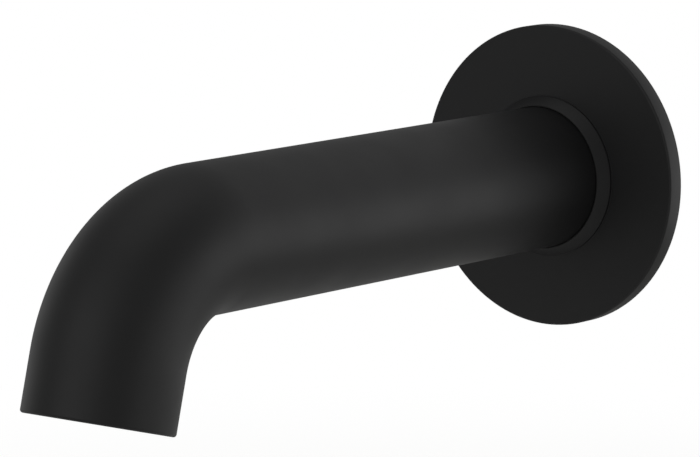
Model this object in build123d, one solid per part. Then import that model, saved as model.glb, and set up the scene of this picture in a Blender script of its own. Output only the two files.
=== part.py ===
from build123d import *
import math
import os

# Wall bath spout in millimetres, with +Z up.
# The wall is the plane y = 0, and the tube leaves it along -Y with its axis through the origin.

# Spout tube, drawn brass with a black finish
tube_od = 35.0
tube_wall = 1.5
tube_setback = 1.0  # the tube's end stays this far off the wall
tube_edge = 0.3  # chamfer of both ends
bend_start = 137.2  # from the wall to where the bend begins
bend_radius = 32.0  # of the centre line
bend_angle = 75.0  # leaves the nose leaning a little forward of straight down
nose_spare = 1.4  # straight tube left between the bend and the outlet bush

# Wall flange, turned brass with a black finish
flange_od = 75.0
flange_thickness = 4.6
flange_face = 1.8  # plate left in front of the hollow back
flange_rim = 2.5  # width of the rim that meets the wall
flange_edge = 0.5  # chamfer of the front edge
flange_fit = 0.1  # gap all round the tube, so that the flange slides on
collar_wall = 2.4  # of the collar's foot
collar_foot = 0.7  # height of the foot, from which the collar tapers to the tube
collar_height = 3.4
collar_front = 0.4  # width of the collar's front face
hub_wall = 1.2  # metal left outside the O-ring groove
hub_setback = 0.4  # keeps the hub off the wall, so that only the rim bears

# O-ring that grips the tube inside the flange
ring_section = 1.78
ring_squeeze = 0.15  # share of the section that the groove takes up
groove_lip = 1.0  # metal between the hub's back and the groove
groove_room = 0.4  # spare width for the ring to spread
bulge_angles = (-90, -30, 30, 90)  # corners of the ring's bulged sides

# Inlet bush with its pipe thread, bored to the thread's crests
inlet_thread_bore = 18.631
inlet_thread_depth = 1.162  # from the crests out to the roots
inlet_thread_length = 14.0
inlet_lead = 0.25  # the lead-in opens this much wider than the roots
inlet_inset = 1.0  # from the tube's end to the bush's face
water_step = 1.8  # the water bore is this much smaller in radius than the thread
water_land = 4.0  # length of the water bore

# Outlet bush with its fine thread, bored to the thread's crests
outlet_inset = 2.0  # from the mouth to the bush's face
outlet_wall = 2.0  # outside the thread's roots
outlet_pitch = 1.0
outlet_lead = 0.5  # chamfer at the thread's mouth
seat_thickness = 1.5  # shoulder that the aerator's washer seals on
thread_ratio = 0.54127  # depth of an inside metric thread over its pitch

# Aerator
housing_inset = 0.4  # from the outlet bush's face to the housing's
housing_wall = 1.4
housing_edge = 0.3  # chamfer of the outer edge
thread_gap = 0.05  # between the housing and the outlet bush's thread crests
lip_width = 0.8  # ledge that carries the insert
lip_height = 1.2
key_slots = 4
key_slot_width = 2.6
key_slot_depth = 0.8
insert_gap = 0.05  # between the insert's pieces and the housing
straightener_thickness = 2.5
straightener_rim = 0.9
cell_size = 2.2  # across the flats
cell_web = 0.5
breaker_rim = 1.0
breaker_gap = 1.5  # mixing space above the straightener
breaker_plate = 1.0
jet_length = 1.4  # along the plate's radius
jet_width = 0.8
jet_spacing = 2.6
jet_rings = 2
strainer_brim = 1.0
strainer_wall = 0.8
strainer_ledge = 1.4  # width of the brim outside the crown
crown_height = 2.8
crown_taper = 1.6  # the crown's top is this much smaller in radius than its foot
mesh_size = 1.5  # square holes in the crown's top
mesh_web = 0.7
washer_thickness = 1.5
washer_gap = 0.2  # between the washer and the thread's crests
crown_gap = 0.4  # between the crown and the washer's hole

# Radii and depths that follow from the sizes above
tube_radius = tube_od / 2
tube_bore = tube_radius - tube_wall
ring_height = ring_section * (1 - ring_squeeze)
ring_flat = (math.pi * (ring_section**2 - ring_height**2) / 4) / ring_height
groove_radius = tube_radius + ring_height
groove_width = ring_height + ring_flat + groove_room
collar_radius = tube_radius + flange_fit + collar_wall
thread_crest = tube_bore - outlet_wall - thread_ratio * outlet_pitch
housing_radius = thread_crest - thread_gap
housing_bore = housing_radius - housing_wall
insert_radius = housing_bore - insert_gap
crown_radius = insert_radius - strainer_ledge
washer_hole = crown_radius + crown_gap
housing_face = outlet_inset + housing_inset
straightener_face = housing_face + lip_height
breaker_face = straightener_face + straightener_thickness
strainer_face = breaker_face + breaker_gap + breaker_plate
washer_face = strainer_face + strainer_brim
seat_face = washer_face + washer_thickness
outlet_depth = seat_face + seat_thickness
nose_length = outlet_depth + nose_spare


def centre_line():
    """The tube's centre line, from its wall end to its mouth."""
    straight = Line((tube_setback, 0), (bend_start, 0))
    bend = JernArc(straight @ 1, straight % 1, bend_radius, -bend_angle)
    nose = Line(bend @ 1, bend @ 1 + (bend % 1) * nose_length)
    side = Plane(origin=(0, 0, 0), x_dir=(0, -1, 0), z_dir=(-1, 0, 0))
    return side * (straight + bend + nose)


def wall_frame():
    """Frame whose third axis leaves the wall along the tube."""
    return Plane(origin=(0, 0, 0), x_dir=(1, 0, 0), z_dir=(0, -1, 0))


def mouth_frame():
    """Frame at the mouth whose third axis runs back into the nose."""
    path = centre_line()
    return Plane(origin=path @ 1, x_dir=(1, 0, 0), z_dir=-(path % 1))


def turned(*corners):
    """A body turned about the third axis from an outline of radius and height."""
    profile = make_face(Polyline(*corners, close=True))
    return revolve(Plane.XZ * profile, axis=Axis.Z)


def spout_tube():
    """Bent tube of one bore from the wall to the mouth, with both ends softened."""
    path = centre_line()
    section = Circle(tube_radius) - Circle(tube_bore)
    start = Plane(origin=path @ 0, x_dir=(1, 0, 0), z_dir=path % 0)
    tube = sweep(start * section, path=path)
    ends = tube.faces().filter_by(GeomType.PLANE)
    return chamfer(ends.edges(), tube_edge)


def wall_flange():
    """Round flange with a hollow back, a tapered collar and a groove for the O-ring."""
    bore = tube_radius + flange_fit
    rim = flange_od / 2 - flange_rim
    hub = groove_radius + hub_wall
    recess = flange_thickness - flange_face
    collar_top = flange_thickness + collar_height
    groove_start = hub_setback + groove_lip
    groove_end = groove_start + groove_width
    flange = turned(
        (bore, hub_setback),
        (hub, hub_setback),
        (hub, recess),
        (rim, recess),
        (rim, 0),
        (flange_od / 2, 0),
        (flange_od / 2, flange_thickness - flange_edge),
        (flange_od / 2 - flange_edge, flange_thickness),
        (collar_radius, flange_thickness),
        (collar_radius, flange_thickness + collar_foot),
        (bore + collar_front, collar_top),
        (bore, collar_top),
        (bore, groove_end),
        (groove_radius, groove_end),
        (groove_radius, groove_start),
        (bore, groove_start),
    )
    return wall_frame() * flange


def bulge(height, side):
    """Corners of one bulged side of the O-ring, from the tube to the groove."""
    spread = ring_height / 2
    for angle in bulge_angles:
        across = spread * math.sin(math.radians(angle))
        along = spread * math.cos(math.radians(angle))
        yield (tube_radius + spread + across, height + side * along)


def flange_o_ring():
    """Rubber ring squeezed flat against the tube and the groove."""
    middle = hub_setback + groove_lip + groove_width / 2
    front = list(bulge(middle + ring_flat / 2, 1))
    back = list(bulge(middle - ring_flat / 2, -1))
    return wall_frame() * turned(*front, *reversed(back))


def inlet_bush():
    """Plug in the tube's wall end, bored for the pipe thread and drilled for the water."""
    crest = inlet_thread_bore / 2
    lead = inlet_thread_depth + inlet_lead
    water = crest - water_step
    face = tube_setback + inlet_inset
    thread_start = face + lead
    thread_end = thread_start + inlet_thread_length
    drill_end = thread_end + water_step
    back = drill_end + water_land
    bush = turned(
        (crest + lead, face),
        (tube_bore, face),
        (tube_bore, back),
        (water, back),
        (water, drill_end),
        (crest, thread_end),
        (crest, thread_start),
    )
    return wall_frame() * bush


def outlet_bush():
    """Ring in the mouth with a threaded bore and the shoulder that the washer seals on."""
    bush = turned(
        (thread_crest + outlet_lead, outlet_inset),
        (tube_bore, outlet_inset),
        (tube_bore, outlet_depth),
        (washer_hole, outlet_depth),
        (washer_hole, seat_face),
        (thread_crest, seat_face),
        (thread_crest, outlet_inset + outlet_lead),
    )
    return mouth_frame() * bush


def aerator_housing():
    """Screw-in ring with a ledge for the insert and slots for the key."""
    ledge = housing_bore - lip_width
    housing = turned(
        (ledge, housing_face),
        (housing_radius - housing_edge, housing_face),
        (housing_radius, housing_face + housing_edge),
        (housing_radius, washer_face),
        (housing_bore, washer_face),
        (housing_bore, straightener_face),
        (ledge, straightener_face),
    )
    slot = Box(
        housing_radius - ledge + housing_wall,
        key_slot_width,
        key_slot_depth,
        align=(Align.CENTER, Align.CENTER, Align.MIN),
    )
    slots = PolarLocations((housing_radius + ledge) / 2, key_slots)
    housing -= [Pos(0, 0, housing_face) * place * slot for place in slots]
    return mouth_frame() * housing


def grid_centres(pitch, reach, skew):
    """Centres of a grid about the middle, out to reach: skew 0 is square, 0.5 a honeycomb."""
    rows = math.ceil(reach / pitch) * 2
    for row in range(-rows, rows + 1):
        for column in range(-rows, rows + 1):
            across = pitch * (column + row * skew)
            along = pitch * row * math.sqrt(1 - skew**2)
            if math.hypot(across, along) <= reach:
                yield Vector(across, along)


def flow_straightener():
    """Honeycomb disc that lets the water leave as one smooth stream."""
    inside = insert_radius - straightener_rim
    cell = RegularPolygon(cell_size / 2, 6, major_radius=False, rotation=30)
    centres = grid_centres(cell_size + cell_web, inside, 0.5)
    cells = Sketch() + [Pos(centre) * cell for centre in centres]
    grid = Circle(insert_radius) - (cells & Circle(inside))
    disc = extrude(grid, straightener_thickness)
    return mouth_frame() * Pos(0, 0, straightener_face) * disc


def jet_breaker():
    """Plate on a rim, with rings of slots that jet the water into the mixing space."""
    inside = insert_radius - breaker_rim
    plate = Circle(insert_radius)
    jet = Rectangle(jet_length, jet_width)
    for ring in range(1, jet_rings + 1):
        radius = inside - jet_spacing * ring
        count = math.floor(2 * math.pi * radius / jet_spacing)
        plate -= [place * jet for place in PolarLocations(radius, count)]
    rim = Circle(insert_radius) - Circle(inside)
    breaker = extrude(rim, breaker_gap) + Pos(0, 0, breaker_gap) * extrude(plate, breaker_plate)
    return mouth_frame() * Pos(0, 0, breaker_face) * breaker


def strainer_cap():
    """Flat-topped crown on a brim, with square holes that keep grit out."""
    foot_bore = crown_radius - strainer_wall
    top = washer_face + crown_height
    top_radius = crown_radius - crown_taper
    top_bore = top_radius - strainer_wall
    cap = turned(
        (0, top),
        (top_radius, top),
        (crown_radius, washer_face),
        (insert_radius, washer_face),
        (insert_radius, strainer_face),
        (foot_bore, strainer_face),
        (foot_bore, washer_face),
        (top_bore, top - strainer_wall),
        (0, top - strainer_wall),
    )
    reach = top_bore - mesh_size
    centres = grid_centres(mesh_size + mesh_web, reach, 0)
    mesh = Sketch() + [Pos(centre) * Rectangle(mesh_size, mesh_size) for centre in centres]
    cap -= Pos(0, 0, top - strainer_wall) * extrude(mesh, strainer_wall)
    return mouth_frame() * cap


def aerator_washer():
    """Flat rubber ring between the aerator and its seat."""
    washer = turned(
        (washer_hole, washer_face),
        (thread_crest - washer_gap, washer_face),
        (thread_crest - washer_gap, seat_face),
        (washer_hole, seat_face),
    )
    return mouth_frame() * washer


PIECES = (
    spout_tube,
    wall_flange,
    flange_o_ring,
    inlet_bush,
    outlet_bush,
    aerator_housing,
    flow_straightener,
    jet_breaker,
    strainer_cap,
    aerator_washer,
)

os.makedirs("parts", exist_ok=True)
for make in PIECES:
    export_step(make(), f"parts/{make.__name__}.step")
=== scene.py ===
"""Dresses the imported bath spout: bent tube, wall flange, threaded bushes, aerator and a plain studio.

Lengths in the classes are in millimetres, apart from the lamps'. Meshes are in metres, in the frame of
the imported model: the wall is the plane y = 0, the tube leaves it along -Y, and +Z is up.
"""
import logging
import math
from collections.abc import Iterator, Sequence
from dataclasses import dataclass, field
from enum import Enum
from functools import cache
from typing import Any

import bmesh
import bpy
from mathutils import Matrix, Vector


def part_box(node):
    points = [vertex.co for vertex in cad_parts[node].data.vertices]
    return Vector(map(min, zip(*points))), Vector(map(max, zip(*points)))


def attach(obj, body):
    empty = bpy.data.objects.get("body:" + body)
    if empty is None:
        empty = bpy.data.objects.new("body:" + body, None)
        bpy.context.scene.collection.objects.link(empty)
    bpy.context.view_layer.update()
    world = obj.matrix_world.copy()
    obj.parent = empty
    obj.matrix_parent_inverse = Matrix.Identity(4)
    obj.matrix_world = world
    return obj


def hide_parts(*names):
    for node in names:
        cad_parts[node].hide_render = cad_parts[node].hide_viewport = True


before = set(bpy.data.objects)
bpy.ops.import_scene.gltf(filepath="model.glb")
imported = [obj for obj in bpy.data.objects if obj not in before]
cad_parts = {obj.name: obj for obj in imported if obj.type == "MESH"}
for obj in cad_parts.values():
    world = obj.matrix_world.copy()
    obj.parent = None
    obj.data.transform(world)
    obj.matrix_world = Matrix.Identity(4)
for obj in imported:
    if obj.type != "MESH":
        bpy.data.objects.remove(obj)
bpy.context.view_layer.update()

LOG = logging.getLogger("bath_spout")
MM = 0.001
BODY = "root"
WHITE = "#ffffff"
# Faces of a round piece, and corners of a cell in the honeycomb
SIDES = 144
CELL_SIDES = 6
# Edges that turn by more than this stay sharp, and a bevel on them has this many steps
CREASE = math.radians(32)
BEVEL_STEPS = 2
# Octaves of the finishes' noise, and the range that most of its values lie in
NOISE_DETAIL = 2.0
NOISE_RANGE = (0.3, 0.7)
Material = bpy.types.Material
Mesh = bpy.types.Mesh
Tree = bpy.types.NodeTree
Socket = bpy.types.NodeSocket


class Slot(Enum):
    """Material slots of the record."""

    BLACK = "black_finish"
    BRASS = "brass"
    RUBBER = "rubber"
    HOUSING = "housing_plastic"
    INSERT = "insert_plastic"


class ThreadSide(Enum):
    """Where a thread's ridge stands: into a bore, or out from a shank."""

    BORE = -1
    SHANK = 1


def linear(code: str) -> tuple[float, float, float, float]:
    """Turns an sRGB hex colour into linear light.

    Args:
        code: Six hex digits after a hash sign.

    Returns:
        Red, green, blue and full alpha.
    """
    parts = [int(code[i : i + 2], 16) / 255 for i in (1, 3, 5)]
    light = [p / 12.92 if p <= 0.04045 else ((p + 0.055) / 1.055) ** 2.4 for p in parts]
    return (*light, 1.0)


def add_node(tree: Tree, kind: str, feeds: dict[str | int, Any] | None = None, **settings: Any) -> Any:
    """Adds a node with its settings, and feeds its inputs.

    Args:
        tree: Shader or geometry tree.
        kind: Blender's name of the node type.
        feeds: Input name or index to the socket that drives it, or to a fixed value.
        settings: Properties of the node.

    Returns:
        The new node.
    """
    node = tree.nodes.new(kind)
    for name, value in settings.items():
        setattr(node, name, value)
    for name, source in (feeds or {}).items():
        if isinstance(source, Socket):
            tree.links.new(source, node.inputs[name])
        else:
            node.inputs[name].default_value = source
    return node


def bare_tree(owner: Material | bpy.types.World) -> Tree:
    """Switches the nodes on and clears them away.

    Args:
        owner: Material or world.

    Returns:
        Its empty tree.
    """
    owner.use_nodes = True
    owner.node_tree.nodes.clear()
    return owner.node_tree


def direction(azimuth: float, elevation: float) -> Vector:
    """Direction as seen from the part.

    Args:
        azimuth: Degrees to the right of straight out from the wall.
        elevation: Degrees above the level.

    Returns:
        A unit vector.
    """
    turn = math.radians(azimuth)
    rise = math.radians(elevation)
    return Vector((math.sin(turn) * math.cos(rise), -math.cos(turn) * math.cos(rise), math.sin(rise)))


def turning_frame(origin: Vector, axis: Vector) -> Matrix:
    """Frame for turned work, whose third axis is the turning axis and whose first is X.

    Args:
        origin: Where the axis starts, in millimetres.
        axis: Direction of the axis, square to X.

    Returns:
        The frame, in metres.
    """
    across = Vector((1, 0, 0))
    turn = Matrix((across, axis.cross(across), axis)).transposed().to_4x4()
    return Matrix.Translation(origin * MM) @ turn


# Frame of the pieces that are turned about the tube's straight run
WALL_FRAME = turning_frame(Vector((0, 0, 0)), Vector((0, -1, 0)))


@dataclass(frozen=True)
class Span:
    """How far a CAD node reaches about a turning axis, in millimetres."""

    inside: float
    outside: float
    low: float
    high: float

    @classmethod
    def measured(cls, node: str, place: Matrix) -> "Span":
        """Measures a node.

        Args:
            node: Name of the CAD node.
            place: Frame whose third axis is the turning axis.

        Returns:
            Its least and greatest radius and height, to a tenth of a micrometre.
        """
        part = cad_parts[node]
        local = place.inverted() @ part.matrix_world
        spots = [local @ vertex.co / MM for vertex in part.data.vertices]
        radii = [spot.xy.length for spot in spots]
        heights = [spot.z for spot in spots]
        limits = (min(radii), max(radii), min(heights), max(heights))
        return cls(*(round(limit, 4) for limit in limits))


@dataclass(frozen=True, kw_only=True)
class Finish:
    """Base of all finishes: a mottled colour and gloss over a fine relief. Sizes are in millimetres."""

    name: str
    colour: str
    mottle_colour: str
    mottle_size: float
    roughness: float
    roughness_swing: float
    relief_size: float
    relief_depth: float
    metallic: float = 0.0
    ior: float = 1.5

    def relief(self, tree: Tree, place: Socket) -> Socket:
        """Adds the relief's height, as grains that run alike in every direction.

        Args:
            tree: Tree of the material.
            place: Object coordinates, in metres.

        Returns:
            The height, from 0 to 1.
        """
        grains = {"Vector": place, "Scale": 1 / (self.relief_size * MM), "Detail": NOISE_DETAIL}
        return add_node(tree, "ShaderNodeTexNoise", grains).outputs["Fac"]

    def material(self) -> Material:
        """Builds the finish.

        Returns:
            A node material.
        """
        material = bpy.data.materials.new(self.name)
        tree = bare_tree(material)
        place = add_node(tree, "ShaderNodeTexCoord").outputs["Object"]
        clouds = {"Vector": place, "Scale": 1 / (self.mottle_size * MM), "Detail": NOISE_DETAIL}
        mottle = add_node(tree, "ShaderNodeTexNoise", clouds).outputs["Fac"]
        colours = {"Factor": mottle, "A": linear(self.colour), "B": linear(self.mottle_colour)}
        tint = add_node(tree, "ShaderNodeMix", colours, data_type="RGBA")
        least, most = NOISE_RANGE
        spread = {
            "Value": mottle,
            "From Min": least,
            "From Max": most,
            "To Min": self.roughness - self.roughness_swing,
            "To Max": self.roughness + self.roughness_swing,
        }
        gloss = add_node(tree, "ShaderNodeMapRange", spread)
        raised = {"Height": self.relief(tree, place), "Distance": self.relief_depth * MM}
        bump = add_node(tree, "ShaderNodeBump", raised)
        feeds = {
            "Base Color": tint.outputs["Result"],
            "Metallic": self.metallic,
            "Roughness": gloss.outputs["Result"],
            "IOR": self.ior,
            "Normal": bump.outputs["Normal"],
        }
        shader = add_node(tree, "ShaderNodeBsdfPrincipled", feeds)
        add_node(tree, "ShaderNodeOutputMaterial", {"Surface": shader.outputs["BSDF"]})
        return material


@dataclass(frozen=True, kw_only=True)
class MattBlackCoat(Finish):
    """Matt black lacquer baked on brass: wide soft highlights, and a fine peel that is felt, not seen."""

    name: str = "matt_black_lacquer_on_brass"
    colour: str = "#131313"
    mottle_colour: str = "#151516"
    mottle_size: float = 14.0
    roughness: float = 0.5
    roughness_swing: float = 0.025
    relief_size: float = 0.6
    relief_depth: float = 0.003
    ior: float = 1.45


@dataclass(frozen=True, kw_only=True)
class TurnedBrass(Finish):
    """Free-cutting brass straight from the lathe: warm, faintly stained, with fine rings from the tool."""

    turned_about: Matrix
    name: str = "turned_brass"
    colour: str = "#dcc088"
    mottle_colour: str = "#bd9858"
    mottle_size: float = 3.5
    roughness: float = 0.27
    roughness_swing: float = 0.08
    relief_size: float = 0.22
    relief_depth: float = 0.006
    ring_detail: float = 3.0
    metallic: float = 1.0

    def relief(self, tree: Tree, place: Socket) -> Socket:
        """Adds the tool's rings, which follow one feed along the axis and across the faces.

        Args:
            tree: Tree of the material.
            place: Object coordinates, in metres.

        Returns:
            The height, from 0 to 1.
        """
        back = self.turned_about.inverted()
        turn = {"Vector": place, "Location": back.to_translation(), "Rotation": back.to_euler()}
        local = add_node(tree, "ShaderNodeMapping", turn).outputs["Vector"]
        height = add_node(tree, "ShaderNodeSeparateXYZ", {"Vector": local}).outputs["Z"]
        flat = add_node(tree, "ShaderNodeVectorMath", {0: local, 1: (1, 1, 0)}, operation="MULTIPLY")
        radius = add_node(tree, "ShaderNodeVectorMath", {0: flat.outputs["Vector"]}, operation="LENGTH")
        feed = add_node(tree, "ShaderNodeMath", {0: radius.outputs["Value"], 1: height}).outputs["Value"]
        rings = {"W": feed, "Scale": 1 / (self.relief_size * MM), "Detail": self.ring_detail}
        return add_node(tree, "ShaderNodeTexNoise", rings, noise_dimensions="1D").outputs["Fac"]


@dataclass(frozen=True, kw_only=True)
class Moulding(Finish):
    """Moulded polymer: even colour, a dull skin and the faint grain of the tool's spark finish."""

    mottle_size: float = 4.0
    roughness_swing: float = 0.05
    relief_size: float = 0.25
    relief_depth: float = 0.006


# Acetal is slippery and faintly waxy. The screw ring is dyed dark, and the water's pieces stay pale.
HOUSING_ACETAL = Moulding(
    name="moulded_acetal_dark_grey", colour="#3a3b3d", mottle_colour="#434446", roughness=0.45, ior=1.48
)
INSERT_ACETAL = Moulding(
    name="moulded_acetal_pale_grey", colour="#b7babd", mottle_colour="#c4c6c8", roughness=0.42, ior=1.48
)
# Nitrile rubber is nearly black, with a dry bloom that takes most of its gloss.
NITRILE = Moulding(
    name="nitrile_rubber", colour="#141415", mottle_colour="#1c1c1d", roughness=0.72, ior=1.52
)


@dataclass(frozen=True)
class Corner:
    """A corner of a turned outline, with the radius that softens it."""

    radius: float
    height: float
    softness: float = 0.0

    @property
    def spot(self) -> Vector:
        """Radius and height as a flat vector."""
        return Vector((self.radius, self.height))


def soften(corners: Sequence[Corner], steps: int = 8) -> list[Vector]:
    """Replaces each soft corner of a closed outline by an arc.

    Args:
        corners: The outline's corners in order.
        steps: Chords in each arc.

    Returns:
        Radius and height of each point of the outline.
    """
    points = []
    for index, corner in enumerate(corners):
        here = corner.spot
        if not corner.softness:
            points.append(here)
            continue
        inward = (corners[index - 1].spot - here).normalized()
        onward = (corners[(index + 1) % len(corners)].spot - here).normalized()
        half = inward.angle(onward) / 2
        run = corner.softness / math.tan(half)
        centre = here + (inward + onward).normalized() * corner.softness / math.sin(half)
        start = here + inward * run - centre
        sweep = start.angle_signed(here + onward * run - centre)
        for step in range(steps + 1):
            points.append(centre + Matrix.Rotation(-sweep * step / steps, 2) @ start)
    return points


def finished_mesh(name: str, shape: bmesh.types.BMesh) -> Mesh:
    """Turns the faces of a closed shape outwards and shades it.

    Args:
        name: Name of the mesh.
        shape: The shape, which is freed.

    Returns:
        The mesh, smooth apart from its sharp edges.
    """
    bmesh.ops.recalc_face_normals(shape, faces=shape.faces)
    mesh = bpy.data.meshes.new(name)
    shape.to_mesh(mesh)
    shape.free()
    mesh.shade_smooth()
    mesh.set_sharp_from_angle(angle=CREASE)
    return mesh


def turned_mesh(name: str, outline: Sequence[Vector]) -> Mesh:
    """Turns a closed outline about the third axis.

    Args:
        name: Name of the mesh.
        outline: Radius and height of each point, in millimetres.

    Returns:
        A closed mesh.
    """
    shape = bmesh.new()
    spokes = [math.tau * side / SIDES for side in range(SIDES)]
    rings = []
    for radius, height in outline:
        spots = [Vector((radius * math.cos(turn), radius * math.sin(turn), height)) for turn in spokes]
        rings.append([shape.verts.new(spot * MM) for spot in spots])
    for index, ring in enumerate(rings):
        following = rings[(index + 1) % len(rings)]
        for side in range(SIDES):
            onward = (side + 1) % SIDES
            shape.faces.new((ring[side], ring[onward], following[onward], following[side]))
    return finished_mesh(name, shape)


def joined_mesh(name: str, *meshes: Mesh) -> Mesh:
    """Puts several closed meshes into one.

    Args:
        name: Name of the new mesh.
        meshes: Meshes in the same frame.

    Returns:
        The new mesh.
    """
    shape = bmesh.new()
    for mesh in meshes:
        shape.from_mesh(mesh)
    return finished_mesh(name, shape)


def add_piece(mesh: Mesh, place: Matrix, material: Material, node: str) -> None:
    """Puts a mesh into the scene in the place of a CAD node.

    Args:
        mesh: The mesh, whose name becomes the piece's.
        place: Frame that the mesh was made in.
        material: Its finish.
        node: CAD node that it stands for.
    """
    mesh.transform(place)
    mesh.materials.append(material)
    piece = bpy.data.objects.new(mesh.name, mesh)
    bpy.context.scene.collection.objects.link(piece)
    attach(piece, BODY)
    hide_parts(node)
    LOG.info("%s: %d faces, in place of %s", piece.name, len(mesh.polygons), node)


def dress_node(node: str, material: Material) -> None:
    """Gives a CAD node, whose shape is right as it is, a better material.

    Args:
        node: Name of the CAD node.
        material: Its finish.
    """
    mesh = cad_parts[node].data
    mesh.materials.clear()
    mesh.materials.append(material)
    LOG.info("%s: dressed as it is", node)


class NodeShape:
    """A Geometry Nodes tree whose named inputs are the sizes of a piece, in metres."""

    def __init__(self, name: str, **inputs: str) -> None:
        """Makes the tree and its sockets.

        Args:
            name: Name of the tree.
            inputs: Kind of each input's socket, by the input's name.
        """
        self.name = name
        self.tree = bpy.data.node_groups.new(name, "GeometryNodeTree")
        face = self.tree.interface
        face.new_socket("Geometry", in_out="INPUT", socket_type="NodeSocketGeometry")
        for label, kind in inputs.items():
            face.new_socket(label, in_out="INPUT", socket_type=f"NodeSocket{kind}")
        face.new_socket("Finish", in_out="INPUT", socket_type="NodeSocketMaterial")
        face.new_socket("Geometry", in_out="OUTPUT", socket_type="NodeSocketGeometry")
        self.given = add_node(self.tree, "NodeGroupInput").outputs

    def close(self, shape: Socket) -> None:
        """Ends the tree with real geometry that carries the finish.

        Args:
            shape: Geometry of the finished shape.
        """
        real = add_node(self.tree, "GeometryNodeRealizeInstances", {"Geometry": shape}).outputs[0]
        feeds = {"Geometry": real, "Material": self.given["Finish"]}
        dressed = add_node(self.tree, "GeometryNodeSetMaterial", feeds).outputs[0]
        add_node(self.tree, "NodeGroupOutput", {"Geometry": dressed})

    def grow(self, base: bpy.types.ID, softness: float = 0.0, **values: Any) -> Mesh:
        """Runs the tree.

        Args:
            base: Mesh or curve that enters the tree.
            softness: Width of the bevel on sharp edges, in millimetres.
            values: Value of each input, by its name, with the Finish among them.

        Returns:
            The result as a plain mesh.
        """
        carrier = bpy.data.objects.new(self.name, base)
        bpy.context.scene.collection.objects.link(carrier)
        modifier = carrier.modifiers.new(self.name, "NODES")
        modifier.node_group = self.tree
        for item in self.tree.interface.items_tree:
            if item.name in values:
                modifier[item.identifier] = values[item.name]
        if softness:
            bevel = carrier.modifiers.new("softness", "BEVEL")
            bevel.width = softness * MM
            bevel.segments = BEVEL_STEPS
            bevel.limit_method = "ANGLE"
            bevel.angle_limit = CREASE
        graph = bpy.context.evaluated_depsgraph_get()
        mesh = bpy.data.meshes.new_from_object(carrier.evaluated_get(graph), depsgraph=graph)
        bpy.data.objects.remove(carrier)
        return mesh


@dataclass(frozen=True, kw_only=True)
class Thread:
    """A screw thread as one helical ridge that fades out at both ends."""

    side: ThreadSide
    pitch: float
    root: float
    depth: float
    root_share: float  # width of the ridge's foot over the pitch
    crest_share: float  # width of its crest over the pitch
    start: float
    turns: float
    run_out: float = 0.6  # turns in which it fades at each end
    tip: float = 0.02  # share of its section that is left at its very ends
    sink: float = 0.03  # how deep its foot lies in the piece
    chords: int = 72  # straight stretches in one turn

    @staticmethod
    @cache
    def shape() -> NodeShape:
        """Tree that sweeps the ridge's section along a helix, the same one for all threads.

        Returns:
            The tree, with the ridge's sizes as its inputs.
        """
        shape = NodeShape(
            "thread_ridge",
            Turns="Float",
            Rise="Float",
            Root="Float",
            Depth="Float",
            RootWidth="Float",
            CrestWidth="Float",
            RunOut="Float",
            Tip="Float",
            Foot="Vector",
            Tilt="Rotation",
            Chords="Int",
        )
        tree = shape.tree
        given = shape.given
        coil = {
            "Resolution": given["Chords"],
            "Rotations": given["Turns"],
            "Start Radius": given["Root"],
            "End Radius": given["Root"],
            "Height": given["Rise"],
        }
        helix = add_node(tree, "GeometryNodeCurveSpiral", coil).outputs[0]
        upright = add_node(tree, "GeometryNodeSetCurveNormal", {"Curve": helix}, mode="Z_UP").outputs[0]
        trapezoid = {
            "Height": given["Depth"],
            "Bottom Width": given["RootWidth"],
            "Top Width": given["CrestWidth"],
            "Offset": 0.0,
        }
        section = add_node(tree, "GeometryNodeCurvePrimitiveQuadrilateral", trapezoid, mode="TRAPEZOID")
        facing = {"Geometry": section.outputs[0], "Translation": given["Foot"], "Rotation": given["Tilt"]}
        faced = add_node(tree, "GeometryNodeTransform", facing).outputs[0]
        along = add_node(tree, "GeometryNodeSplineParameter").outputs["Factor"]
        ahead = add_node(tree, "ShaderNodeMath", {0: 1.0, 1: along}, operation="SUBTRACT").outputs[0]
        from_end = add_node(tree, "ShaderNodeMath", {0: along, 1: ahead}, operation="MINIMUM").outputs[0]
        fade = {"Value": from_end, "From Max": given["RunOut"], "To Min": given["Tip"]}
        grown = add_node(tree, "ShaderNodeMapRange", fade).outputs["Result"]
        sweep = {"Curve": upright, "Profile Curve": faced, "Scale": grown, "Fill Caps": True}
        shape.close(add_node(tree, "GeometryNodeCurveToMesh", sweep).outputs[0])
        return shape

    def mesh(self, finish: Material) -> Mesh:
        """Makes the ridge in the frame of its turned piece.

        Args:
            finish: Material of the piece.

        Returns:
            A closed mesh.
        """
        outward = self.side.value
        depth = self.depth + self.sink
        mesh = self.shape().grow(
            bpy.data.meshes.new("thread"),
            Turns=self.turns,
            Rise=self.turns * self.pitch * MM,
            Root=(self.root - outward * self.sink) * MM,
            Depth=depth * MM,
            RootWidth=self.root_share * self.pitch * MM,
            CrestWidth=self.crest_share * self.pitch * MM,
            RunOut=self.run_out / self.turns,
            Tip=self.tip,
            Foot=(-outward * depth / 2 * MM, 0.0, 0.0),
            Tilt=(0.0, 0.0, math.radians(90 * outward)),
            Chords=self.chords,
            Finish=finish,
        )
        mesh.transform(Matrix.Translation((0, 0, self.start * MM)))
        return mesh


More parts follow.
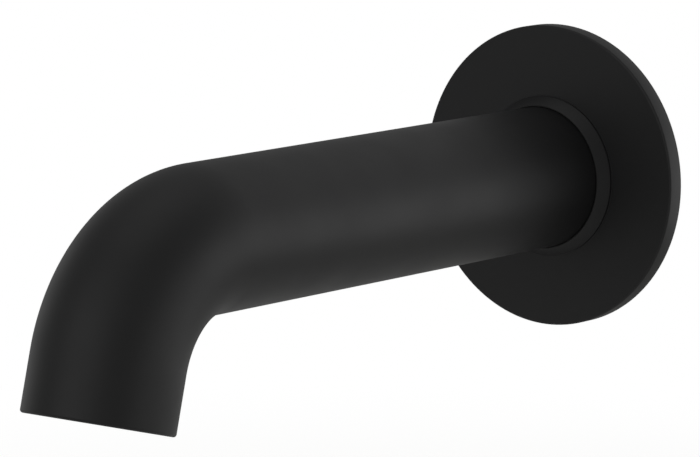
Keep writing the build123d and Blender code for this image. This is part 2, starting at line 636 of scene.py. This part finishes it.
@dataclass(frozen=True)
class CentreLine:
    """The tube's centre line: straight out from the wall, round one bend, then down the nose."""

    bend_start: float = 137.2
    bend_radius: float = 32.0
    bend_angle: float = math.radians(75.0)
    nose_length: float = 14.0

    @property
    def bend_end(self) -> float:
        """Distance along the line to the end of the bend."""
        return self.bend_start + self.bend_radius * self.bend_angle

    @property
    def length(self) -> float:
        """Distance along the line to the mouth."""
        return self.bend_end + self.nose_length

    @property
    def mouth(self) -> Matrix:
        """Frame at the mouth whose third axis runs back into the nose."""
        back = Vector((0, math.cos(self.bend_angle), math.sin(self.bend_angle)))
        return turning_frame(self.point(self.length), back)

    def point(self, distance: float) -> Vector:
        """Place on the line.

        Args:
            distance: Length along the line from the wall.

        Returns:
            The point, in millimetres.
        """
        turn = min(max((distance - self.bend_start) / self.bend_radius, 0), self.bend_angle)
        beyond = max(distance - self.bend_end, 0)
        out = min(distance, self.bend_start) + self.bend_radius * math.sin(turn) + beyond * math.cos(turn)
        down = self.bend_radius * (1 - math.cos(turn)) + beyond * math.sin(turn)
        return Vector((0, -out, -down))


@dataclass
class SpoutTube:
    """The bent tube: one bore from the wall to the mouth, with both lips rounded."""

    line: CentreLine
    coat: Material
    wall: float = 1.5
    bend_steps: int = 48
    lip_steps: int = 8
    weld: float = 0.01  # points nearer than this become one

    def stations(self, start: float) -> Iterator[tuple[float, float]]:
        """Places along the tube where a ring of its skin stands.

        Args:
            start: Distance of the tube's end from the wall.

        Yields:
            Distance along the centre line, and how far the lip's rounding draws the skin into the wall.
        """
        lip = self.wall / 2
        turns = [math.pi / 2 * step / self.lip_steps for step in range(self.lip_steps + 1)]
        for turn in turns:
            yield start + lip - lip * math.cos(turn), lip - lip * math.sin(turn)
        for step in range(self.bend_steps + 1):
            arc = (self.line.bend_end - self.line.bend_start) * step / self.bend_steps
            yield self.line.bend_start + arc, 0.0
        for turn in reversed(turns):
            yield self.line.length - lip + lip * math.cos(turn), lip - lip * math.sin(turn)

    def path(self) -> bpy.types.Curve:
        """Lays two runs along the centre line, whose point radii are those of the skin and of the bore.

        Returns:
            The path, in metres.
        """
        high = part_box("spout_tube")[1]
        radius = high.x / MM
        stations = list(self.stations(-high.y / MM))
        curve = bpy.data.curves.new("spout_tube_path", "CURVE")
        curve.dimensions = "3D"
        for surface, inward in ((radius, -1), (radius - self.wall, 1)):
            spline = curve.splines.new("POLY")
            spline.points.add(len(stations) - 1)
            for point, (distance, inset) in zip(spline.points, stations):
                point.co = (*(self.line.point(distance) * MM), 1.0)
                point.radius = (surface + inward * inset) * MM
        return curve

    def shape(self) -> NodeShape:
        """Tree that sweeps a circle of each point's radius and welds skin and bore at the lips.

        Returns:
            The tree, which a path enters.
        """
        shape = NodeShape("tube_sweep", Sides="Int", Weld="Float")
        tree = shape.tree
        given = shape.given
        circle = {"Resolution": given["Sides"], "Radius": 1.0}
        ring = add_node(tree, "GeometryNodeCurvePrimitiveCircle", circle).outputs["Curve"]
        radius = add_node(tree, "GeometryNodeInputRadius").outputs["Radius"]
        sweep = {"Curve": given["Geometry"], "Profile Curve": ring, "Scale": radius}
        swept = add_node(tree, "GeometryNodeCurveToMesh", sweep).outputs[0]
        lips = {"Geometry": swept, "Distance": given["Weld"]}
        shape.close(add_node(tree, "GeometryNodeMergeByDistance", lips).outputs[0])
        return shape

    def build(self) -> None:
        """Sweeps the tube and dresses it."""
        mesh = self.shape().grow(self.path(), Sides=SIDES, Weld=self.weld * MM, Finish=self.coat)
        shell = joined_mesh("spout_tube_shell", mesh)
        add_piece(shell, Matrix.Identity(4), self.coat, "spout_tube")


@dataclass
class WallFlange:
    """The turned flange with its rim, tapered collar and hub, and the rubber ring that grips the tube."""

    coat: Material
    rubber: Material
    thickness: float = 4.6
    plate: float = 1.8  # metal in front of the hollow back
    rim: float = 2.5
    collar_wall: float = 2.4
    collar_foot: float = 0.7
    collar_front: float = 0.4
    edge_softness: float = 0.5
    small_softness: float = 0.2
    hub_wall: float = 1.2
    hub_setback: float = 0.4
    groove_lip: float = 1.0
    groove_width: float = 2.369
    groove_room: float = 0.4  # spare width beside the ring

    def flange(self, span: Span, groove: float) -> Mesh:
        """Turns the flange.

        Args:
            span: Reach of the CAD flange.
            groove: Radius of the ring's groove.

        Returns:
            The mesh.
        """
        soft = self.small_softness
        recess = self.thickness - self.plate
        rim = span.outside - self.rim
        hub = groove + self.hub_wall
        collar = span.inside + self.collar_wall
        groove_start = self.hub_setback + self.groove_lip
        groove_end = groove_start + self.groove_width
        corners = [
            Corner(span.inside, self.hub_setback, soft),
            Corner(hub, self.hub_setback, soft),
            Corner(hub, recess, soft),
            Corner(rim, recess, soft),
            Corner(rim, span.low, soft),
            Corner(span.outside, span.low, soft),
            Corner(span.outside, self.thickness, self.edge_softness),
            Corner(collar, self.thickness, soft / 2),
            Corner(collar, self.thickness + self.collar_foot, soft),
            Corner(span.inside + self.collar_front, span.high, soft / 2),
            Corner(span.inside, span.high, soft / 2),
            Corner(span.inside, groove_end),
            Corner(groove, groove_end),
            Corner(groove, groove_start),
            Corner(span.inside, groove_start),
        ]
        return turned_mesh("wall_flange_body", soften(corners))

    def ring(self, span: Span) -> Mesh:
        """Turns the rubber ring, squeezed between tube and groove, with round sides.

        Args:
            span: Reach of the CAD ring.

        Returns:
            The mesh.
        """
        low = self.hub_setback + self.groove_lip + self.groove_room / 2
        high = low + self.groove_width - self.groove_room
        bulge = (span.outside - span.inside) / 2
        spots = ((span.inside, low), (span.outside, low), (span.outside, high), (span.inside, high))
        return turned_mesh("flange_ring", soften([Corner(*spot, bulge) for spot in spots]))

    def build(self) -> None:
        """Turns and dresses both pieces."""
        ring = Span.measured("flange_o_ring", WALL_FRAME)
        flange = self.flange(Span.measured("wall_flange", WALL_FRAME), ring.outside)
        add_piece(flange, WALL_FRAME, self.coat, "wall_flange")
        add_piece(self.ring(ring), WALL_FRAME, self.rubber, "flange_o_ring")


@dataclass
class InletBush:
    """The brass plug in the wall end, with its 1/2 inch pipe thread cut for real."""

    crest: float = 9.3155
    thread_depth: float = 1.162
    thread_length: float = 14.0
    pitch: float = 1.814
    root_share: float = 0.86
    crest_share: float = 0.22
    first_turn: float = 0.7
    turns_short: float = 0.5  # turns left off at the inner end
    lead: float = 0.25  # chamfer where the wall's nipple enters
    softness: float = 0.25

    def build(self) -> None:
        """Turns the plug, cuts its thread and dresses it."""
        span = Span.measured("inlet_bush", WALL_FRAME)
        root = self.crest + self.thread_depth
        thread_end = span.low + self.thread_depth + self.lead + self.thread_length
        drill_end = thread_end + self.crest - span.inside
        corners = [
            Corner(root + self.lead, span.low, self.softness / 2),
            Corner(span.outside, span.low, self.softness),
            Corner(span.outside, span.high, self.softness),
            Corner(span.inside, span.high, self.softness),
            Corner(span.inside, drill_end),
            Corner(self.crest, thread_end),
            Corner(root, thread_end - self.thread_depth),
            Corner(root, span.low + self.lead),
        ]
        thread = Thread(
            side=ThreadSide.BORE,
            pitch=self.pitch,
            root=root,
            depth=self.thread_depth,
            root_share=self.root_share,
            crest_share=self.crest_share,
            start=span.low + self.pitch * self.first_turn,
            turns=self.thread_length / self.pitch - self.turns_short,
        )
        brass = TurnedBrass(turned_about=WALL_FRAME).material()
        plug = turned_mesh("inlet_bush_blank", soften(corners))
        mesh = joined_mesh("inlet_bush_threaded", plug, thread.mesh(brass))
        add_piece(mesh, WALL_FRAME, brass, "inlet_bush")


@dataclass
class Outlet:
    """The mouth: a brass ring with a fine thread, and the aerator that screws into it."""

    line: CentreLine
    rubber: Material
    pitch: float = 1.0
    thread_wall: float = 2.0  # metal outside the thread's roots
    thread_depth: float = 0.5413
    thread_play: float = 0.02  # taken off the height of the housing's thread
    lead: float = 0.5  # chamfers at both ends of the bush's thread
    bush_root_share: float = 0.8
    bush_crest_share: float = 0.25
    bush_first_turn: float = 0.7
    bush_turns: float = 7.0
    housing_root_share: float = 0.7
    housing_crest_share: float = 0.125
    housing_first_turn: float = 2.2
    housing_turns: float = 5.0
    housing_wall: float = 1.4
    slot_width: float = 2.6
    slot_depth: float = 0.8
    slot_count: int = 4
    disc_rim: float = 0.9
    cell: float = 2.2  # across its flats
    web: float = 0.5  # plastic between two cells
    softness: float = 0.15
    arc_steps: int = 3
    place: Matrix = field(init=False)
    ring: Span = field(init=False)
    screw: Span = field(init=False)
    disc: Span = field(init=False)
    washer: Span = field(init=False)

    def __post_init__(self) -> None:
        """Measures the CAD nodes that the mouth's pieces follow."""
        self.place = self.line.mouth
        self.ring = Span.measured("outlet_bush", self.place)
        self.screw = Span.measured("aerator_housing", self.place)
        self.disc = Span.measured("flow_straightener", self.place)
        self.washer = Span.measured("aerator_washer", self.place)

    def bush(self, brass: Material) -> Mesh:
        """Turns the brass ring and cuts its thread.

        Args:
            brass: Material of the ring.

        Returns:
            A closed mesh.
        """
        root = self.ring.outside - self.thread_wall
        crest = root - self.thread_depth
        corners = [
            Corner(crest + self.lead, self.ring.low, self.softness),
            Corner(self.ring.outside, self.ring.low, self.softness),
            Corner(self.ring.outside, self.ring.high, self.softness),
            Corner(self.ring.inside, self.ring.high, self.softness),
            Corner(self.ring.inside, self.washer.high, self.softness),
            Corner(crest, self.washer.high),
            Corner(root, self.washer.high - self.lead),
            Corner(root, self.ring.low + self.lead / 2),
        ]
        thread = Thread(
            side=ThreadSide.BORE,
            pitch=self.pitch,
            root=root,
            depth=self.thread_depth,
            root_share=self.bush_root_share,
            crest_share=self.bush_crest_share,
            start=self.ring.low + self.pitch * self.bush_first_turn,
            turns=self.bush_turns,
        )
        ring = turned_mesh("outlet_bush_blank", soften(corners))
        return joined_mesh("outlet_bush_threaded", ring, thread.mesh(brass))

    def slots_shape(self) -> NodeShape:
        """Tree that cuts key slots into the rim of a turned ring.

        Returns:
            The tree, which the ring enters.
        """
        shape = NodeShape("key_slots", Count="Int", Reach="Float", Size="Vector", Level="Vector")
        tree = shape.tree
        given = shape.given
        circle = {"Vertices": given["Count"], "Radius": given["Reach"]}
        spots = add_node(tree, "GeometryNodeMeshCircle", circle).outputs["Mesh"]
        lift = {"Geometry": spots, "Translation": given["Level"]}
        raised = add_node(tree, "GeometryNodeTransform", lift).outputs[0]
        block = add_node(tree, "GeometryNodeMeshCube", {"Size": given["Size"]}).outputs["Mesh"]
        where = add_node(tree, "GeometryNodeInputPosition").outputs[0]
        axes = add_node(tree, "ShaderNodeSeparateXYZ", {0: where}).outputs
        bearing = add_node(tree, "ShaderNodeMath", {0: axes["Y"], 1: axes["X"]}, operation="ARCTAN2")
        turn = add_node(tree, "ShaderNodeCombineXYZ", {"Z": bearing.outputs[0]}).outputs[0]
        facing = add_node(tree, "FunctionNodeEulerToRotation", {0: turn}).outputs[0]
        copies = {"Points": raised, "Instance": block, "Rotation": facing}
        blocks = add_node(tree, "GeometryNodeInstanceOnPoints", copies).outputs[0]
        cutters = add_node(tree, "GeometryNodeRealizeInstances", {"Geometry": blocks}).outputs[0]
        cut = {"Mesh 1": given["Geometry"], "Mesh 2": cutters}
        slotted = add_node(tree, "GeometryNodeMeshBoolean", cut, operation="DIFFERENCE", solver="MANIFOLD")
        shape.close(slotted.outputs["Mesh"])
        return shape

    def housing(self, plastic: Material) -> Mesh:
        """Turns the screw ring, cuts its key slots and its thread.

        Args:
            plastic: Material of the ring.

        Returns:
            A closed mesh.
        """
        bore = self.screw.outside - self.housing_wall
        corners = [
            Corner(self.screw.inside, self.screw.low),
            Corner(self.screw.outside, self.screw.low, self.softness * 2),
            Corner(self.screw.outside, self.screw.high, self.softness),
            Corner(bore, self.screw.high),
            Corner(bore, self.disc.low),
            Corner(self.screw.inside, self.disc.low),
        ]
        blank = turned_mesh("housing_blank", soften(corners, self.arc_steps))
        slot_length = self.screw.outside - self.screw.inside + self.housing_wall
        slotted = self.slots_shape().grow(
            blank,
            softness=self.softness,
            Count=self.slot_count,
            Reach=(self.screw.outside + self.screw.inside) / 2 * MM,
            Size=(slot_length * MM, self.slot_width * MM, self.slot_depth * 2 * MM),
            Level=(0.0, 0.0, self.screw.low * MM),
            Finish=plastic,
        )
        thread = Thread(
            side=ThreadSide.SHANK,
            pitch=self.pitch,
            root=self.screw.outside,
            depth=self.thread_depth - self.thread_play,
            root_share=self.housing_root_share,
            crest_share=self.housing_crest_share,
            start=self.ring.low + self.pitch * self.housing_first_turn,
            turns=self.housing_turns,
        )
        return joined_mesh("aerator_screw_ring", slotted, thread.mesh(plastic))

    def honeycomb_shape(self) -> NodeShape:
        """Tree that cuts a honeycomb of cells through a disc and leaves its rim whole.

        Returns:
            The tree, with the sizes of disc and cells as its inputs.
        """
        shape = NodeShape(
            "honeycomb",
            Radius="Float",
            Inside="Float",
            Thickness="Float",
            Through="Float",
            CellCorner="Float",
            HalfPitch="Float",
            RowStep="Float",
            Across="Float",
            Along="Float",
            Rows="Int",
        )
        tree = shape.tree
        given = shape.given
        plate = {"Vertices": SIDES, "Radius": given["Radius"], "Depth": given["Thickness"]}
        disc = add_node(tree, "GeometryNodeMeshCylinder", plate).outputs["Mesh"]
        middle = {"Vertices": SIDES, "Radius": given["Inside"], "Depth": given["Through"]}
        core = add_node(tree, "GeometryNodeMeshCylinder", middle).outputs["Mesh"]
        cell = {"Vertices": CELL_SIDES, "Radius": given["CellCorner"], "Depth": given["Through"]}
        hexagon = add_node(tree, "GeometryNodeMeshCylinder", cell).outputs["Mesh"]
        turn = {"Geometry": hexagon, "Rotation": (0, 0, math.pi / CELL_SIDES)}
        pointed = add_node(tree, "GeometryNodeTransform", turn).outputs[0]
        grid = {
            "Size X": given["Across"],
            "Size Y": given["Along"],
            "Vertices X": given["Rows"],
            "Vertices Y": given["Rows"],
        }
        lattice = add_node(tree, "GeometryNodeMeshGrid", grid).outputs["Mesh"]
        where = add_node(tree, "GeometryNodeInputPosition").outputs[0]
        level = add_node(tree, "ShaderNodeSeparateXYZ", {0: where}).outputs["Y"]
        row = add_node(tree, "ShaderNodeMath", {0: level, 1: given["RowStep"]}, operation="DIVIDE")
        whole = add_node(tree, "ShaderNodeMath", {0: row.outputs[0]}, operation="ROUND").outputs[0]
        odd = add_node(tree, "ShaderNodeMath", {0: whole, 1: 2.0}, operation="FLOORED_MODULO").outputs[0]
        shift = add_node(tree, "ShaderNodeMath", {0: odd, 1: given["HalfPitch"]}, operation="MULTIPLY")
        aside = add_node(tree, "ShaderNodeCombineXYZ", {"X": shift.outputs[0]}).outputs[0]
        moved = {"Geometry": lattice, "Offset": aside}
        staggered = add_node(tree, "GeometryNodeSetPosition", moved).outputs[0]
        reach = add_node(tree, "ShaderNodeVectorMath", {0: where}, operation="LENGTH").outputs["Value"]
        beyond = {0: reach, 1: given["Inside"]}
        outside = add_node(tree, "ShaderNodeMath", beyond, operation="GREATER_THAN").outputs[0]
        stray = {"Geometry": staggered, "Selection": outside}
        kept = add_node(tree, "GeometryNodeDeleteGeometry", stray, domain="POINT").outputs[0]
        copies = {"Points": kept, "Instance": pointed}
        cells = add_node(tree, "GeometryNodeInstanceOnPoints", copies).outputs[0]
        cutters = add_node(tree, "GeometryNodeRealizeInstances", {"Geometry": cells}).outputs[0]
        both = add_node(tree, "GeometryNodeMeshBoolean", operation="INTERSECT", solver="MANIFOLD")
        for shared in (cutters, core):
            tree.links.new(shared, both.inputs["Mesh 2"])
        cut = {"Mesh 1": disc, "Mesh 2": both.outputs["Mesh"]}
        comb = add_node(tree, "GeometryNodeMeshBoolean", cut, operation="DIFFERENCE", solver="MANIFOLD")
        shape.close(comb.outputs["Mesh"])
        return shape

    def straightener(self, plastic: Material) -> Mesh:
        """Cuts the honeycomb disc.

        Args:
            plastic: Material of the disc.

        Returns:
            A closed mesh.
        """
        pitch = self.cell + self.web
        row_step = pitch * math.sqrt(3) / 2
        thickness = self.disc.high - self.disc.low
        inside = self.disc.outside - self.disc_rim
        rows = 2 * math.ceil(inside / row_step) + 1
        mesh = self.honeycomb_shape().grow(
            bpy.data.meshes.new("honeycomb"),
            softness=self.softness / 2,
            Radius=self.disc.outside * MM,
            Inside=inside * MM,
            Thickness=thickness * MM,
            Through=thickness * 2 * MM,
            CellCorner=self.cell / math.sqrt(3) * MM,
            HalfPitch=pitch / 2 * MM,
            RowStep=row_step * MM,
            Across=(rows - 1) * pitch * MM,
            Along=(rows - 1) * row_step * MM,
            Rows=rows,
            Finish=plastic,
        )
        mesh.transform(Matrix.Translation((0, 0, (self.disc.low + self.disc.high) / 2 * MM)))
        return joined_mesh("flow_honeycomb", mesh)

    def build(self) -> None:
        """Makes and dresses every piece of the mouth."""
        brass = TurnedBrass(turned_about=self.place).material()
        dark = HOUSING_ACETAL.material()
        pale = INSERT_ACETAL.material()
        add_piece(self.bush(brass), self.place, brass, "outlet_bush")
        add_piece(self.housing(dark), self.place, dark, "aerator_housing")
        add_piece(self.straightener(pale), self.place, pale, "flow_straightener")
        dress_node("jet_breaker", pale)
        dress_node("strainer_cap", pale)
        dress_node("aerator_washer", self.rubber)


@dataclass(frozen=True)
class Softbox:
    """A square lamp that faces the part from one side. Its width and distance are in metres."""

    name: str
    azimuth: float
    elevation: float
    radiance: float
    width: float
    distance: float = 1.6

    def build(self) -> None:
        """Hangs the lamp."""
        out = direction(self.azimuth, self.elevation)
        data = bpy.data.lights.new(self.name, "AREA")
        data.shape = "SQUARE"
        data.size = self.width
        # A flat lamp's power is its radiance times its area, times pi for the half space
        data.energy = self.radiance * math.pi * self.width**2
        lamp = bpy.data.objects.new(self.name, data)
        lamp.location = out * self.distance
        lamp.rotation_euler = out.to_track_quat("Z", "Y").to_euler()
        lamp.visible_camera = False
        bpy.context.scene.collection.objects.link(lamp)


@dataclass
class Studio:
    """A pale floor under the wall-hung part, a white backdrop, soft lamps and the photograph's camera."""

    floor_level: float = -95.0
    floor_reach: float = 300.0  # radius of the floor, which has faded to white there
    floor_colour: str = "#e9e9e7"
    floor_lift: float = 0.63  # glow that the eye sees on top of the paper's own light
    fade_start: float = 100.0  # radius at which the paper starts to fade
    painted_glow_pool: tuple[float, float] = (60.0, 160.0)  # radii where the painted glow, which only reflections see, starts to fall and has gone
    painted_glow_share: float = 0.25  # share of white that the painted glow shows to reflections
    under: tuple[float, float] = (0.0, -90.0)  # middle of floor and of the painted glow, in X and Y
    backdrop: tuple[float, float] = (175.0, 3.0)  # azimuth and elevation of its middle
    backdrop_spread: tuple[float, float] = (0.75, 0.97)  # cosines of its edge and of its full part
    room: float = 0.28  # light from everywhere else
    lens: float = 226.8
    sensor: float = 36.0
    azimuth: float = 38.65
    elevation: float = 8.68
    aim: tuple[float, float, float] = (51.62, 13.68, -1100.0)  # the frame's origin, as the camera sees it
    lamps: tuple[Softbox, ...] = (
        Softbox("right_softbox", azimuth=120, elevation=-20, radiance=0.62, width=2.4),
        Softbox("front_softbox", azimuth=0, elevation=20, radiance=0.58, width=1.6),
        Softbox("top_softbox", azimuth=0, elevation=89, radiance=0.37, width=1.4),
        Softbox("left_softbox", azimuth=-90, elevation=0, radiance=0.32, width=1.3),
    )

    def camera(self) -> None:
        """Stands the camera where the photograph was taken from."""
        back = direction(self.azimuth, self.elevation)
        right = direction(self.azimuth + 90, 0)
        turn = Matrix((right, back.cross(right), back)).transposed()
        data = bpy.data.cameras.new("photo_camera")
        data.sensor_width = self.sensor
        data.lens = self.lens
        camera = bpy.data.objects.new("photo_camera", data)
        camera.matrix_world = Matrix.Translation(turn @ Vector(self.aim) * -MM) @ turn.to_4x4()
        bpy.context.scene.collection.objects.link(camera)
        bpy.context.scene.camera = camera

    def paper(self) -> Material:
        """Pale paper that keeps the part's shadow, lifted to near white for the eye.

        Reflections see its lit surface, with a painted white glow in the middle that only they see, and the
        eye sees it fade to white.

        Returns:
            The material.
        """
        material = bpy.data.materials.new("studio_paper")
        tree = bare_tree(material)
        ray = add_node(tree, "ShaderNodeLightPath").outputs
        place = add_node(tree, "ShaderNodeTexCoord").outputs["Object"]
        middle = Vector((*self.under, self.floor_level)) * MM
        gap = add_node(tree, "ShaderNodeVectorMath", {0: place, 1: middle}, operation="DISTANCE")
        away = gap.outputs["Value"]
        # Painted glow: a pool of white under the part that only reflections see, brightening its underside
        near, far = self.painted_glow_pool
        fall = {
            "Value": away,
            "From Min": near * MM,
            "From Max": far * MM,
            "To Min": self.painted_glow_share,
            "To Max": 0.0,
        }
        painted_glow_pool = add_node(tree, "ShaderNodeMapRange", fall, interpolation_type="SMOOTHSTEP").outputs["Result"]
        rise = {"Value": away, "From Min": self.fade_start * MM, "From Max": self.floor_reach * MM}
        fade = add_node(tree, "ShaderNodeMapRange", rise, interpolation_type="SMOOTHSTEP").outputs["Result"]
        shown = add_node(tree, "ShaderNodeMath", {0: ray["Is Glossy Ray"], 1: painted_glow_pool}, operation="MULTIPLY")
        seen = add_node(tree, "ShaderNodeMath", {0: ray["Is Camera Ray"], 1: fade}, operation="MULTIPLY")
        white = add_node(tree, "ShaderNodeMath", {0: shown.outputs[0], 1: seen.outputs[0]})
        sheet = add_node(tree, "ShaderNodeBsdfDiffuse", {"Color": linear(self.floor_colour)})
        lift = {0: ray["Is Camera Ray"], 1: self.floor_lift}
        strength = add_node(tree, "ShaderNodeMath", lift, operation="MULTIPLY").outputs[0]
        glow = add_node(tree, "ShaderNodeEmission", {"Color": linear(WHITE), "Strength": strength})
        lifted = {0: sheet.outputs["BSDF"], 1: glow.outputs["Emission"]}
        pale = add_node(tree, "ShaderNodeAddShader", lifted)
        light = add_node(tree, "ShaderNodeEmission", {"Color": linear(WHITE), "Strength": 1.0})
        top = {0: white.outputs[0], 1: pale.outputs["Shader"], 2: light.outputs["Emission"]}
        lit = add_node(tree, "ShaderNodeMixShader", top).outputs["Shader"]
        back = add_node(tree, "ShaderNodeNewGeometry").outputs["Backfacing"]
        below = add_node(tree, "ShaderNodeMath", {0: ray["Is Camera Ray"], 1: back}, operation="MULTIPLY")
        clear = add_node(tree, "ShaderNodeBsdfTransparent").outputs["BSDF"]
        sides = {0: below.outputs[0], 1: lit, 2: clear}
        both = add_node(tree, "ShaderNodeMixShader", sides).outputs["Shader"]
        add_node(tree, "ShaderNodeOutputMaterial", {"Surface": both})
        return material

    def floor(self) -> None:
        """Lays a round sheet of paper, seen through from below."""
        shape = bmesh.new()
        place = Matrix.Translation(Vector((*self.under, self.floor_level)) * MM)
        reach = self.floor_reach * MM
        bmesh.ops.create_circle(shape, cap_ends=True, segments=SIDES, radius=reach, matrix=place)
        mesh = bpy.data.meshes.new("studio_floor")
        shape.to_mesh(mesh)
        shape.free()
        mesh.materials.append(self.paper())
        sheet = bpy.data.objects.new("studio_floor", mesh)
        bpy.context.scene.collection.objects.link(sheet)

    def world(self) -> None:
        """White to the eye and to reflections of the backdrop, an even dim room elsewhere."""
        world = bpy.data.worlds.new("studio")
        tree = bare_tree(world)
        ray = add_node(tree, "ShaderNodeLightPath").outputs
        look = add_node(tree, "ShaderNodeTexCoord").outputs["Generated"]
        toward = {0: look, 1: direction(*self.backdrop)}
        nearness = add_node(tree, "ShaderNodeVectorMath", toward, operation="DOT_PRODUCT").outputs["Value"]
        start, full = self.backdrop_spread
        spread = {"Value": nearness, "From Min": start, "From Max": full}
        patch = add_node(tree, "ShaderNodeMapRange", spread, interpolation_type="SMOOTHSTEP")
        cloth = {0: ray["Is Glossy Ray"], 1: patch.outputs["Result"]}
        shown = add_node(tree, "ShaderNodeMath", cloth, operation="MULTIPLY")
        white = add_node(tree, "ShaderNodeMath", {0: shown.outputs[0], 1: ray["Is Camera Ray"]})
        dim = add_node(tree, "ShaderNodeBackground", {"Color": linear(WHITE), "Strength": self.room})
        bright = add_node(tree, "ShaderNodeBackground", {"Color": linear(WHITE), "Strength": 1.0})
        sides = {0: white.outputs[0], 1: dim.outputs["Background"], 2: bright.outputs["Background"]}
        both = add_node(tree, "ShaderNodeMixShader", sides).outputs["Shader"]
        add_node(tree, "ShaderNodeOutputWorld", {"Surface": both})
        bpy.context.scene.world = world

    def build(self) -> None:
        """Sets up the whole studio."""
        self.camera()
        self.floor()
        self.world()
        for lamp in self.lamps:
            lamp.build()
        bpy.context.scene.view_settings.view_transform = "Standard"
        LOG.info("studio: %d lamps, floor %.0f mm below the axis", len(self.lamps), -self.floor_level)


def main() -> None:
    """Builds the pieces in order, then the studio."""
    logging.basicConfig(level=logging.INFO, format="%(name)s: %(message)s")
    line = CentreLine()
    coat = MattBlackCoat().material()
    rubber = NITRILE.material()
    SpoutTube(line, coat).build()
    WallFlange(coat, rubber).build()
    InletBush().build()
    Outlet(line, rubber).build()
    Studio().build()


if __name__ == "__main__":
    main()
